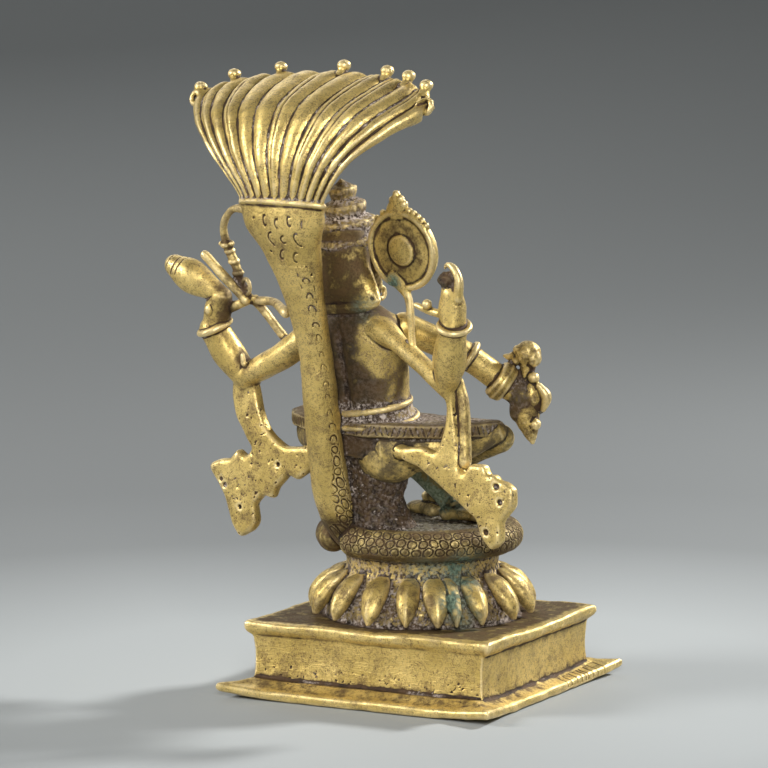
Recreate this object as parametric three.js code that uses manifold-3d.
// A small cast brass figure of south Asia, 160 mm tall: a seated four-armed deity, leaning back on a
// square plinth and a lotus, under the fluted hood of a many-headed serpent. It is one casting.
// Millimetres, +Z up, origin at the middle of the plinth's underside. The plinth is square to the
// axes; the figure faces -Y and sits a little askew on it, with +X on its left.
import * as THREE from 'three';
import { mergeVertices } from 'three/addons/utils/BufferGeometryUtils.js';
import Module from 'manifold-3d';

const wasm = await Module();
wasm.setup();

// Driving dimensions
const FLANGE = { halfX: 39, halfY: 39.5, rise: 1.7, edge: 1.6, tipCurl: 1.7, tipReach: 2.2, flare: 0.055 };
const BLOCK = { halfX: 32.6, halfY: 30.4, bottom: 1.2, top: 16.5 };
const PLATE = { halfX: 34.6, halfY: 31.2, bottom: 15.2, top: 19, edge: 1.9 };
const LOTUS = { neck: 20, neckTop: 37, base: 25, petals: 20, tip: 29.4, petalTop: 30.6 };
const COIL = { radius: 22, tube: 3.9, height: 39.6, floor: 43.2, from: 58, bulge: 1.5 };
const SKEW = 10;
const HIPS = new THREE.Vector3(3, 18, 69);
const LEAN = 10;
const ROLL = 2;
const HOOD = { flutes: 13, swell: 1.3, thickness: 3, drift: 2.2, headSize: 1.9, headLift: 1.4 };
const RIM_HEADS = [0.99, 0.78, 0.43, -0.09, -0.485, -0.7, -0.9];
const STRAP = { halfX: 31, halfY: 24 };
const DISC = { radius: 10.3, rim: 1.5, boss: 5.2 };
const SCARF = { back: 26.4, thickness: 3.6 };
const TIDY = { slack: 0.05, turn: 0.7, leastArea: 1e-3, passes: 3 };

const degrees = THREE.MathUtils.degToRad;
const point = (x, y, z) => new THREE.Vector3(x, y, z);

// The figure is turned on the plinth, and its body leans back from the hips.
const onPlinth = new THREE.Matrix4().makeRotationZ(degrees(-SKEW));
const inBody = onPlinth.clone()
  .multiply(new THREE.Matrix4().makeTranslation(HIPS.x, HIPS.y, HIPS.z))
  .multiply(new THREE.Matrix4().makeRotationY(degrees(ROLL)))
  .multiply(new THREE.Matrix4().makeRotationX(degrees(-LEAN)));

const cast = [];

// Every form is closed, and is handed to the casting in the frame that it was modelled in.
function add(geometry, frame = new THREE.Matrix4()) {
  cast.push(solid(geometry.clone().applyMatrix4(frame)));
}

function solid(geometry) {
  const bare = new THREE.BufferGeometry();
  bare.setAttribute('position', geometry.getAttribute('position').clone());
  bare.setIndex(geometry.getIndex());
  const joined = mergeVertices(bare, 1e-4);
  const places = Float32Array.from(joined.getAttribute('position').array);
  const faces = withoutSlivers(Uint32Array.from(joined.getIndex().array));
  if (enclosed(places, faces) < 0) {
    for (let i = 0; i < faces.length; i += 3) {
      [faces[i], faces[i + 1]] = [faces[i + 1], faces[i]];
    }
  }
  return new wasm.Manifold(new wasm.Mesh({ numProp: 3, vertProperties: places, triVerts: faces }));
}

function withoutSlivers(faces) {
  const kept = [];
  for (let i = 0; i < faces.length; i += 3) {
    const [a, b, c] = faces.slice(i, i + 3);
    if (a !== b && b !== c && c !== a) kept.push(a, b, c);
  }
  return Uint32Array.from(kept);
}

function enclosed(places, faces) {
  const corner = (i) => point(...places.slice(3 * faces[i], 3 * faces[i] + 3));
  let volume = 0;
  for (let i = 0; i < faces.length; i += 3) {
    volume += corner(i).dot(corner(i + 1).cross(corner(i + 2))) / 6;
  }
  return volume;
}

// A closed skin over rings of points.
function loft(rings) {
  const sides = rings[0].length;
  const places = rings.flat().flatMap((p) => [p.x, p.y, p.z]);
  const faces = [];
  for (let r = 0; r + 1 < rings.length; r += 1) {
    for (let s = 0; s < sides; s += 1) {
      const a = r * sides + s;
      const b = r * sides + ((s + 1) % sides);
      faces.push(a, b, b + sides, a, b + sides, a + sides);
    }
  }
  // An end is closed by a zigzag from one half of its ring to the other, so a bowed ring stays thin.
  [0, rings.length - 1].forEach((end) => {
    const low = end * sides;
    const high = low + sides - 1;
    for (let i = 0; i < sides / 2 - 1; i += 1) {
      const near = [low + i, low + i + 1];
      const far = [high - i, high - i - 1];
      const strip = [near[0], far[0], near[1]];
      if (far[1] > near[1]) strip.push(near[1], far[0], far[1]);
      faces.push(...(end === 0 ? strip : strip.reverse()));
    }
  });
  const geometry = new THREE.BufferGeometry();
  geometry.setAttribute('position', new THREE.Float32BufferAttribute(places, 3));
  geometry.setIndex(faces);
  return geometry;
}

// A limb, body or stem: an oval that follows stations of [x, y, z, half width, half depth].
// The width lies square to the path and to the direction that the limb faces.
function limb(stations, { sides = 8, steps = 4, facing = point(0, 1, 0), round = true } = {}) {
  const path = new THREE.CatmullRomCurve3(stations.map(([x, y, z]) => point(x, y, z)));
  const girth = new THREE.CatmullRomCurve3(stations.map((s) => point(s[3], s[4] ?? s[3], 0)));
  const ring = (t, shrink, beyond) => {
    const tangent = path.getTangent(t);
    const across = new THREE.Vector3().crossVectors(tangent, facing).normalize();
    const through = new THREE.Vector3().crossVectors(across, tangent).normalize();
    const size = girth.getPoint(t);
    const centre = path.getPoint(t).addScaledVector(tangent, beyond * Math.min(size.x, size.y));
    return Array.from({ length: sides }, (_, i) => {
      const angle = (2 * Math.PI * i) / sides;
      return centre.clone()
        .addScaledVector(across, Math.cos(angle) * size.x * shrink)
        .addScaledVector(through, Math.sin(angle) * size.y * shrink);
    });
  };
  const rings = Array.from({ length: steps + 1 }, (_, i) => ring(i / steps, 1, 0));
  if (round) {
    rings.unshift(ring(0, 0.66, -0.7));
    rings.push(ring(1, 0.66, 0.7));
  }
  return loft(rings);
}

function ball(centre, radii, { across = 6, up = 4 } = {}) {
  return new THREE.SphereGeometry(1, across, up)
    .scale(...radii)
    .translate(...centre);
}

// A ring on a limb: a flat band of round section about an axis.
function bangle(centre, axis, radius, thickness, { sides = 8 } = {}) {
  const profile = Array.from({ length: 4 }, (_, i) => {
    const angle = (2 * Math.PI * i) / 3;
    return new THREE.Vector2(radius + thickness * Math.cos(angle), thickness * Math.sin(angle));
  });
  const turn = new THREE.Quaternion().setFromUnitVectors(point(0, 1, 0), axis.clone().normalize());
  return new THREE.LatheGeometry(profile, sides)
    .applyQuaternion(turn)
    .translate(centre.x, centre.y, centre.z);
}

// Plinth: a flange with up-curled corners and hollowed top, a block, and a thin overhanging plate.
function slab(halfX, halfY, lower, upper, cells = 8) {
  const rings = [lower, upper].map((height) => {
    const row = [];
    for (let j = 0; j <= cells; j += 1) {
      for (let i = 0; i <= cells; i += 1) {
        const u = (2 * i) / cells - 1;
        const v = (2 * j) / cells - 1;
        const { out, z } = height(u, v);
        row.push(u * halfX * out, v * halfY * out, z);
      }
    }
    return row;
  });
  const count = (cells + 1) ** 2;
  const faces = [];
  const cell = (a, b, c, d) => faces.push(a, b, c, a, c, d);
  for (let j = 0; j < cells; j += 1) {
    for (let i = 0; i < cells; i += 1) {
      const a = j * (cells + 1) + i;
      cell(a + cells + 1, a + cells + 2, a + 1, a);
      cell(a + count, a + 1 + count, a + cells + 2 + count, a + cells + 1 + count);
    }
  }
  const rim = [];
  for (let i = 0; i < cells; i += 1) rim.push(i);
  for (let j = 0; j < cells; j += 1) rim.push(j * (cells + 1) + cells);
  for (let i = cells; i > 0; i -= 1) rim.push(cells * (cells + 1) + i);
  for (let j = cells; j > 0; j -= 1) rim.push(j * (cells + 1));
  rim.forEach((a, i) => {
    const b = rim[(i + 1) % rim.length];
    cell(a, b, b + count, a + count);
  });
  const geometry = new THREE.BufferGeometry();
  geometry.setAttribute('position', new THREE.Float32BufferAttribute(rings.flat(), 3));
  geometry.setIndex(faces);
  return geometry;
}

function plinth() {
  const corner = (u, v) => (Math.max(0, Math.abs(u * v) - 0.45) / 0.55) ** 2;
  const outer = (u, v) => Math.max(Math.abs(u), Math.abs(v));
  add(slab(
    FLANGE.halfX - FLANGE.tipReach,
    FLANGE.halfY - FLANGE.tipReach,
    (u, v) => ({ out: 1 + FLANGE.flare * corner(u, v), z: FLANGE.tipCurl * corner(u, v) }),
    (u, v) => ({
      out: 1 + FLANGE.flare * corner(u, v),
      z: FLANGE.edge + FLANGE.rise * (1 - outer(u, v)) * 2 + FLANGE.tipCurl * corner(u, v),
    }),
    8,
  ));
  add(slab(
    BLOCK.halfX,
    BLOCK.halfY,
    () => ({ out: 1, z: BLOCK.bottom }),
    () => ({ out: 0.985, z: BLOCK.top }),
    2,
  ));
  add(slab(
    PLATE.halfX,
    PLATE.halfY,
    (u, v) => ({ out: 1, z: outer(u, v) > 0.99 ? PLATE.top - PLATE.edge : PLATE.bottom }),
    (u, v) => ({ out: 1, z: PLATE.top + 0.35 * Math.sin(2.4 * u + 1) * Math.cos(2.1 * v) * outer(u, v) }),
    4,
  ));
}

// Lotus: a turned core under a row of drooping petals, each a swelling drop with a pointed tip.
function lotus() {
  const core = [
    [0, PLATE.top - 1],
    [LOTUS.base + 0.4, PLATE.top - 1],
    [LOTUS.base - 1.2, PLATE.top + 7],
    [LOTUS.neck - 0.4, LOTUS.petalTop + 0.6],
    [LOTUS.neck + 0.3, LOTUS.neckTop],
    [0, LOTUS.neckTop],
  ].map(([r, z]) => new THREE.Vector2(r, z));
  add(new THREE.LatheGeometry(core, 20).rotateX(Math.PI / 2));
  for (let i = 0; i < LOTUS.petals; i += 1) {
    add(petal().rotateZ((2 * Math.PI * (i + 0.3)) / LOTUS.petals));
  }
}

function petal() {
  const width = (0.76 * Math.PI * LOTUS.base) / LOTUS.petals;
  const profile = [
    { r: LOTUS.neck + 1, z: LOTUS.petalTop + 0.6, half: 0.5, deep: 0.8 },
    { r: LOTUS.neck + 3.2, z: LOTUS.petalTop - 1.2, half: 0.88, deep: 2.2 },
    { r: LOTUS.base + 0.7, z: 26, half: 1, deep: 2.6 },
    { r: LOTUS.base + 2.6, z: 22.4, half: 0.66, deep: 1.9 },
    { r: LOTUS.tip - 0.5, z: 19.5, half: 0.14, deep: 0.6 },
  ];
  const sides = 8;
  return loft(profile.map(({ r, z, half, deep }) => Array.from({ length: sides }, (_, i) => {
    const angle = (2 * Math.PI * i) / sides;
    return point(r + deep * Math.cos(angle), half * width * Math.sin(angle), z);
  })));
}

// Serpent: a single coil round the seat, and out of it the stem, which flattens into the hood's neck.
function serpent() {
  const rise = [
    [6.4, 47, 128.6, 14, 3],
    [6.4, 46.2, 122, 11.4, 3.9],
    [6.5, 44.2, 115, 8, 4.3],
    [6.1, 39.8, 102, 5.2, 4.2],
    [6, 36, 89, 4.2, 4.2],
    [6.4, 33.4, 76, 4.4, 4.4],
    [7.4, 30, 63, 4.7, 4.6],
    [8.4, 26, 51, 4.8, 4.7],
  ].map(([x, y, z, wide, deep]) => {
    const base = point(x, y, z).applyMatrix4(onPlinth);
    return [base.x, base.y, base.z, wide, deep];
  });
  const along = (angle, out) => [
    (COIL.radius + out) * Math.cos(degrees(angle)),
    (COIL.radius + out) * Math.sin(degrees(angle)),
    COIL.height,
  ];
  const foot = [...along(COIL.from, 0), 4.5, 4.3];
  foot[2] += 2.6;
  add(limb([...rise, foot, [...along(COIL.from + 24, 0), COIL.tube, COIL.tube]], {
    sides: 12, steps: 16, facing: point(0, 1, 0).applyMatrix4(onPlinth),
  }));
  // The tail swings out a little before it passes behind the foot of the stem.
  const stations = 22;
  const turns = Array.from({ length: stations }, (_, i) => {
    const tail = THREE.MathUtils.smoothstep(i, stations - 5, stations - 2);
    return [...along(COIL.from + 8 + i * 16, COIL.bulge * tail), COIL.tube];
  });
  add(limb(turns, { sides: 8, steps: 30, facing: point(0, 0, 1) }));
  add(new THREE.CylinderGeometry(COIL.radius - 1, COIL.radius - 1, 8, 24)
    .rotateX(Math.PI / 2)
    .translate(0, 0, COIL.floor - 4));
}

// Hood: flat neck, then ribs that rise, spread and bow forward over the head, with a head on each end.
const hoodSpine = new THREE.CatmullRomCurve3([
  point(12.6, 46.2, 122), point(14.6, 47, 128), point(22, 47.5, 137),
  point(30.8, 42.8, 143.8), point(36.6, 37.4, 149), point(36.4, 34.6, 151.6),
]);
const hoodCrest = new THREE.CatmullRomCurve3([
  point(0, 48.6, 122), point(0, 50.4, 129), point(0, 50.6, 139.5),
  point(0, 45.5, 150), point(0, 33, 156.6), point(0, 25, 158.4),
]);

function hoodPoint(across, along) {
  const edge = hoodSpine.getPoint(along);
  const crest = hoodCrest.getPoint(along);
  const bow = Math.sqrt(Math.max(0, 1 - across * across));
  return point(
    6.4 + HOOD.drift * along + edge.x * across,
    THREE.MathUtils.lerp(edge.y, crest.y, bow),
    THREE.MathUtils.lerp(edge.z, crest.z, bow),
  );
}

function hood() {
  const perFlute = 3;
  const cells = HOOD.flutes * perFlute;
  const steps = 7;
  const across = (i) => Math.sin((i / cells - 0.5) * Math.PI * 0.98);
  const skin = (along, side) => {
    const row = [];
    for (let i = 0; i <= cells; i += 1) {
      const s = across(i);
      const e = 0.004;
      const here = hoodPoint(s, along);
      const alongStep = hoodPoint(s, Math.min(1, along + e)).sub(hoodPoint(s, Math.max(0, along - e)));
      const acrossStep = hoodPoint(Math.min(0.999, s + e), along)
        .sub(hoodPoint(Math.max(-0.999, s - e), along));
      const out = new THREE.Vector3().crossVectors(alongStep, acrossStep).normalize();
      const swell = Math.abs(Math.sin((Math.PI * i) / perFlute));
      const fade = THREE.MathUtils.smoothstep(along, 0.1, 0.5);
      const gap = side > 0 ? HOOD.swell * fade * (swell - 0.5) : -HOOD.thickness;
      row.push(here.addScaledVector(out, gap));
    }
    return row;
  };
  const rings = Array.from({ length: steps + 1 }, (_, k) => {
    const along = k / steps;
    return [...skin(along, 1), ...skin(along, -1).reverse()];
  });
  add(loft(rings), onPlinth);
  RIM_HEADS.forEach((place) => {
    const lift = point(Math.max(0, place), -0.7, 1.4).setLength(HOOD.headLift);
    const knob = hoodPoint(place, 0.97).add(lift);
    add(ball(knob.toArray(), Array(3).fill(HOOD.headSize)), onPlinth);
  });
}

// Seat: block on the coil, crossed shins, thighs as a flat tray, and the strap that goes round it.
function seat() {
  add(limb([
    [1.4, 15, 42, 9, 7.6],
    [1, 16, 50, 7.8, 6.8],
    [1.4, 17, 58, 8.6, 8],
    [2, 17, 64, 12, 9],
  ], { sides: 8, steps: 3, round: false }), onPlinth);
  [-1, 1].forEach((side) => {
    add(limb([
      [3 + side * 8, 18, 64.4, 9.5, 7.2],
      [3 + side * 20, 10, 65.4, 8.4, 5.6],
      [3 + side * 28.6, 3.2, 68.2, 4.6, 3],
    ], { sides: 8, steps: 3, facing: point(0, 0, 1) }), onPlinth);
  });
  const shins = [
    [[-25.5, 1, 66.4], [-13, -2, 60.8], [-2, -6, 50.5], [2.4, -7.4, 46.2]],
    [[31, 1, 65.6], [16, -2.6, 61], [4, -4, 57.4], [-9.4, -5, 45.6]],
  ];
  shins.forEach(([knee, calf, shank, ankle]) => {
    const toward = Math.sign(ankle[0] - knee[0]);
    add(limb([
      [...knee, 3.6, 3.2],
      [...calf, 3.2, 3],
      [...shank, 2.3, 2.3],
      [...ankle, 2.2, 2.2],
    ], { steps: 5 }), onPlinth);
    add(limb([
      [ankle[0] - toward * 2, ankle[1] + 2, 45.2, 2.6, 2.2],
      [ankle[0] + toward * 6, ankle[1] - 1, 44.8, 3, 1.7],
    ], { facing: point(0, 0, 1) }), onPlinth);
  });
  add(ball([-4, 19, 62.2], [9, 8, 7], { across: 8, up: 6 }), onPlinth);
  add(ball([10.6, 19, 62.2], [9, 7.4, 7]), onPlinth);
  const tray = (low, high) => {
    const outline = new THREE.Shape();
    outline.absellipse(3, 3, STRAP.halfX, STRAP.halfY, 0, Math.PI);
    outline.lineTo(3 + STRAP.halfX, 3);
    return new THREE.ExtrudeGeometry(outline, { depth: high - low, bevelEnabled: false, curveSegments: 20 })
      .translate(0, 0, low);
  };
  add(tray(68, 70.6), onPlinth);
}

// Torso, neck, head, hair and stepped crown, in the leaning body's own frame.
function body() {
  add(limb([
    [0.4, 0.5, -5, 14.5, 10],
    [-0.2, 0.5, 1, 14.2, 10.2],
    [-0.8, 0.2, 8, 11.8, 8.7],
    [-1, 0, 16, 12.4, 8.8],
    [-1, 0.6, 23, 13.2, 8.4],
    [-1, 1, 27.6, 11, 7],
    [-1, 0.6, 31, 6, 5.4],
  ], { sides: 14, steps: 8, round: false }), inBody);
  add(bangle(point(-0.6, 0.5, 6.4), point(0, 0, 1), 11.8, 1.2, { sides: 12 }).scale(1, 0.78, 1), inBody);
  add(limb([[-1, 0, 28, 5, 5], [-1, -1, 37, 4.8, 5]], { steps: 3 }), inBody);
  add(ball([-1, -2.4, 41], [6.4, 7.4, 8.4], { across: 10, up: 6 }), inBody);
  add(limb([
    [-1, 2, 49, 7.6, 5.4],
    [-1, 3.6, 40, 8.8, 5],
    [-1, 4.6, 33, 10.6, 4.6],
    [-1, 5.2, 29.4, 11.2, 3.4],
  ], { sides: 8, steps: 4 }), inBody);
  const tiers = 4;
  const profile = [new THREE.Vector2(0, 45)];
  for (let i = 0; i < tiers; i += 1) {
    const low = 7.6 * (1 - i / tiers) ** 0.85 + 0.8;
    const foot = 46.4 + i * 4.1;
    profile.push(new THREE.Vector2(low, foot), new THREE.Vector2(low + 0.3, foot + 2.6));
  }
  profile.push(new THREE.Vector2(0, 64));
  add(new THREE.LatheGeometry(profile, 10).rotateX(Math.PI / 2).translate(-1, -1, 0), inBody);
}

function finger(stations, options = {}) {
  return limb(stations, { sides: 5, steps: 3, ...options });
}

function arms() {
  // Right rear arm, its hand holding the disc
  add(limb([[-10, 3, 27, 3, 3], [-19, 4.6, 21.5, 2.1, 2.3], [-29.6, 5, 13, 2.4, 2.6]]), inBody);
  add(limb([[-30.2, 5, 12, 2.2, 2.4], [-33, 6, 20, 4.3, 4], [-36.2, 7, 28, 3.4, 3.2]]), inBody);
  add(bangle(point(-36.6, 7, 28.8), point(-0.3, 0.15, 1), 3.6, 0.9), inBody);
  add(limb([[-36.4, 7, 29, 3, 3], [-36, 6, 34, 4, 2.8], [-38.2, 7, 39.4, 2.4, 2]]), inBody);
  add(finger([[-38.4, 7, 39, 1.4], [-39.8, 6.4, 41.6, 1], [-38.4, 5, 43, 0.7]]), inBody);
  add(finger([[-35.5, 5, 36, 1.7], [-27, 2, 36, 1.5]], { facing: point(0, 0, 1) }), inBody);

  // Left rear arm, its hand holding the conch and the crook
  add(limb([[12, 3, 24.5, 3.6, 4.6], [22, 4.6, 18.5, 3.4, 4.5], [33, 5, 13.6, 3.2, 3.9]]), inBody);
  add(limb([[34.4, 5, 13, 3.4, 3.4], [38, 6, 19, 4.2, 4], [41, 7, 26, 3.9, 3.7]]), inBody);
  add(bangle(point(40.6, 7, 26.4), point(0.25, 0.15, 1), 4.1, 0.9), inBody);
  add(limb([[40.4, 7, 27, 3.4, 3], [38.6, 7, 31, 3.8, 3], [37, 7, 34.6, 3, 2.6]]), inBody);

  // Front arms, straight to the knees
  add(limb([[-9, 19, 95, 3.8, 3.8], [-20, 8, 87.4, 3.5, 3.6], [-28.4, 0.6, 79.4, 3.3, 3.4]]), onPlinth);
  add(limb([[12, 17, 94, 3.8, 3.8], [24, 8, 86.6, 3.5, 3.6], [34, 0.6, 78.4, 3.3, 3.4]]), onPlinth);
  add(bangle(point(-26.2, 2.4, 81.4), point(-1, -0.9, -0.9), 3.8, 0.9), onPlinth);
  add(bangle(point(31.8, 2.4, 80.2), point(1, -0.9, -0.9), 3.8, 0.9), onPlinth);
  add(limb([[-28, 0.8, 80, 3.4, 3.4], [-30.8, -1.2, 77, 3.6, 3.4], [-30, -1, 73, 2.6, 2.6]]), onPlinth);
  add(limb([[33.6, 0.8, 79, 3.2, 3.2], [36, -1, 74.6, 3.8, 2.8], [36, -1.6, 70, 3.2, 2.4]]), onPlinth);
}

function attributes() {
  // Disc with a raised rim and boss, a bud on top, and a flat stalk down to the upper arm
  const face = [[0, -1], [DISC.radius, -1], [DISC.radius, 1.1], [DISC.radius - DISC.rim, 1.1]];
  face.push([DISC.radius - DISC.rim - 0.4, 0.4], [DISC.boss + 0.4, 0.4], [DISC.boss, 1.1], [0, 1.4]);
  const wheel = new THREE.LatheGeometry(face.map(([r, z]) => new THREE.Vector2(r, z)), 16);
  const onDisc = inBody.clone().multiply(new THREE.Matrix4().makeTranslation(-20, 2, 46.6));
  add(wheel, onDisc);
  add(limb([[0, 0, 9.6, 2.4, 0.9], [0, 0, 11.6, 2.2, 1], [0, 0, 13.8, 0.7, 0.7]], { steps: 3 }), onDisc);
  [24, 44].forEach((angle) => {
    const bead = point(0, 0, DISC.radius + 0.3).applyAxisAngle(point(0, 1, 0), -degrees(angle));
    add(ball(bead.toArray(), [0.9, 0.9, 0.9]), onDisc);
  });
  add(limb([
    [-17.6, 2.2, 38.6, 2.4, 0.9],
    [-20.4, 2.6, 35.4, 1.2, 0.9],
    [-20.4, 4, 22.6, 1, 1],
  ], { sides: 5, steps: 3 }), inBody);

  // Conch-like bud on the left, its finger rod and thumb
  add(limb([
    [36.6, 7, 35, 2, 2],
    [41, 7, 37.2, 3.4, 3.2],
    [46, 7, 39.8, 4.5, 4.1],
    [50.8, 7, 42.4, 2.9, 2.9],
  ], { sides: 8, steps: 5, facing: point(0, 1, 0) }), inBody);
  add(finger([[39.8, 7.6, 45.6, 1.1], [34, 7.4, 39.4, 1.2], [29, 7, 33.8, 1.2]]), inBody);
  const thumb = [[38, 6, 30.4, 1.3], [31, 6, 32.8, 1.2], [27, 5.4, 34, 1]];
  add(finger(thumb, { facing: point(0, 0, 1) }), inBody);

  // Crook: from the hood's neck out, down a knobbed shaft, and by two rods to the stem and the arm
  add(limb([
    [23, 8, 58, 1.2, 1.2],
    [29, 7, 57.4, 1, 1],
    [33.4, 6, 53.2, 1, 1],
    [34, 5.4, 48.6, 1.1, 1.1],
    [32.2, 5, 42, 1.2, 1.2],
    [30.4, 5, 35.4, 1.1, 1.1],
    [26, 5, 31.6, 1.1, 1.1],
    [20.8, 4, 24, 1.1, 1.1],
  ], { sides: 5, steps: 10, facing: point(0, 1, 0.3) }), inBody);
  const knobs = [[33.9, 5.2, 47.4, 1.9], [32.9, 5, 44.4, 1.5], [32, 5, 41.2, 1.7], [30.6, 5, 36.2, 1.8]];
  knobs.forEach(([x, y, z, r]) => add(ball([x, y, z], [r, r, r * 0.8]), inBody));
  add(limb([[28, 5, 33.2, 1.1, 1.1], [20, 7, 33.6, 1.1, 1.1], [13.4, 11.4, 32.6, 1.2, 1.2]], {
    sides: 6, steps: 5, facing: point(0, 0, 1),
  }), inBody);

  // Club in the right front hand: round knob with a beak, neck, ring, and a pointed foot
  add(ball([-31, -2, 87.8], [3.4, 3.4, 3.4], { across: 8, up: 6 }), onPlinth);
  add(finger([[-29, -0.8, 87, 1.8], [-25.9, 0.6, 87, 0.7]], { facing: point(0, 0, 1) }), onPlinth);
  add(limb([
    [-31, -2, 86, 2, 2],
    [-31.2, -2, 82.4, 2.1, 2.1],
    [-31.4, -2, 77, 3.2, 3.2],
    [-31.6, -2, 71, 2.6, 2.6],
    [-32.4, -2, 65.8, 0.9, 0.9],
  ], { steps: 5 }), onPlinth);
  add(bangle(point(-31.3, -2, 82), point(0, 0, 1), 2.2, 1), onPlinth);
  add(ball([-33.4, -3, 76.2], [2.8, 2.6, 3.4]), onPlinth);
}

// Scarf ends: flat cut-out plates that hang from the rear elbows and are tied back to the hips.
function scarf(outline, closing) {
  const shape = new THREE.Shape();
  shape.moveTo(...outline[0]);
  outline.slice(1).forEach((p) => (p.length === 2 ? shape.lineTo(...p) : shape.quadraticCurveTo(...p)));
  shape.closePath();
  const cut = { depth: SCARF.thickness, bevelEnabled: false, curveSegments: 2 };
  const plate = new THREE.ExtrudeGeometry(shape, cut)
    .rotateX(Math.PI / 2)
    .translate(0, SCARF.back, 0);
  add(plate, onPlinth);
  add(limb(closing, { sides: 8, steps: 3, facing: point(0, 0, 1) }), onPlinth);
}

function scarves() {
  scarf([
    [-24, 84], [-27.6, 79, -26.8, 74], [-26.4, 69, -23.6, 65.2], [-19.5, 66.4], [-13, 65.6], [-13, 62.6],
    [-18.5, 61], [-25.7, 56.6], [-35.9, 50], [-37.8, 45.5], [-40.8, 42.3], [-43.8, 44.4],
    [-43.8, 49.6], [-47.6, 53.9], [-47.7, 58.1], [-45, 59.8], [-42.9, 59.8], [-41.8, 61.4],
    [-39.8, 60.8], [-38.6, 63.4], [-34.4, 63.3], [-32.2, 60.6], [-30.4, 61.8], [-30.4, 70, -29.4, 76],
    [-29, 84],
  ], [[-12, 24.4, 64.2, 2, 1.8], [-11, 19, 64.4, 3, 2]]);
  scarf([
    [35, 82], [33.4, 72, 31.4, 68.2], [28.6, 64.2, 24.2, 62.7], [18, 63.2], [9, 63], [9, 58],
    [15.7, 57.7], [20.6, 54.2], [23.6, 55.5], [27.6, 51.4], [28.4, 48.8], [31.9, 49.5],
    [34.6, 46.8], [33.9, 42.1], [35.8, 39.7], [39.7, 37.9], [42.4, 41.3], [44.9, 48.4],
    [49.6, 55], [49.4, 56.5], [46, 57.8], [42.9, 58.1], [40.4, 60.9], [37.7, 59],
    [35.6, 61.2], [38.4, 66, 40.4, 68.4], [43.2, 74, 41, 82],
  ], [[11, 24.6, 60.6, 2.2, 2], [10, 19, 61, 3, 2.4]]);
}

plinth();
lotus();
serpent();
hood();
seat();
body();
arms();
attributes();
scarves();

// The union leaves slivers where forms meet, so a corner that hardly changes the form is drawn into
// a neighbour: the two share no third neighbour but those of their common edge, no facet that is kept
// turns by more than a little, and the old corner stays within the slack of every new facet.
function thinned(places, faces, slack) {
  const corners = [];
  for (let i = 0; i < places.length; i += 3) corners.push(point(...places.slice(i, i + 3)));
  const facets = [];
  const touching = corners.map(() => new Set());
  for (let i = 0; i < faces.length; i += 3) {
    const facet = [...faces.slice(i, i + 3)];
    facet.forEach((c) => touching[c].add(facets.length));
    facets.push(facet);
  }
  const normal = ([a, b, c]) => new THREE.Vector3()
    .crossVectors(corners[b].clone().sub(corners[a]), corners[c].clone().sub(corners[a]));
  const neighbours = (c) => new Set([...touching[c]].flatMap((f) => facets[f]).filter((n) => n !== c));
  const mayMove = (from, to) => {
    const shared = [...neighbours(from)].filter((n) => neighbours(to).has(n));
    if (shared.length !== 2) return false;
    return [...touching[from]].filter((f) => !facets[f].includes(to)).every((f) => {
      const before = normal(facets[f]);
      const after = normal(facets[f].map((c) => (c === from ? to : c)));
      if (after.length() < TIDY.leastArea) return false;
      const turned = before.length() > TIDY.leastArea && before.angleTo(after) > TIDY.turn;
      const offset = Math.abs(after.normalize().dot(corners[from].clone().sub(corners[to])));
      return !turned && offset < slack;
    });
  };
  corners.forEach((_, from) => {
    const near = [...neighbours(from)].sort((a, b) => (
      corners[a].distanceTo(corners[from]) - corners[b].distanceTo(corners[from])));
    const to = near.find((n) => mayMove(from, n));
    if (to === undefined) return;
    [...touching[from]].forEach((f) => {
      const gone = facets[f].includes(to);
      facets[f].forEach((c) => (gone ? touching[c].delete(f) : 0));
      facets[f] = gone ? [] : facets[f].map((c) => (c === from ? to : c));
      if (!gone) touching[to].add(f);
    });
    touching[from].clear();
  });
  return Uint32Array.from(facets.flat());
}

// Pockets sealed inside the metal, where forms overlap, are filled.
const shells = wasm.Manifold.union(cast).decompose().filter((shell) => shell.volume() > 0);
const skin = wasm.Manifold.union(shells).getMesh();
let facets = Uint32Array.from(skin.triVerts);
for (let pass = 0; pass < TIDY.passes; pass += 1) {
  facets = thinned(skin.vertProperties, facets, TIDY.slack);
}
const bronze = new THREE.BufferGeometry();
bronze.setAttribute('position', new THREE.BufferAttribute(Float32Array.from(skin.vertProperties), 3));
bronze.setIndex(new THREE.BufferAttribute(facets, 1));
bronze.computeVertexNormals();

const figure = new THREE.Mesh(
  bronze,
  new THREE.MeshStandardMaterial({ color: 0x9a7b3c, roughness: 0.42, metalness: 1 }),
);
figure.name = 'bronze_figure';

const group = new THREE.Group();
group.add(figure);

export default group;
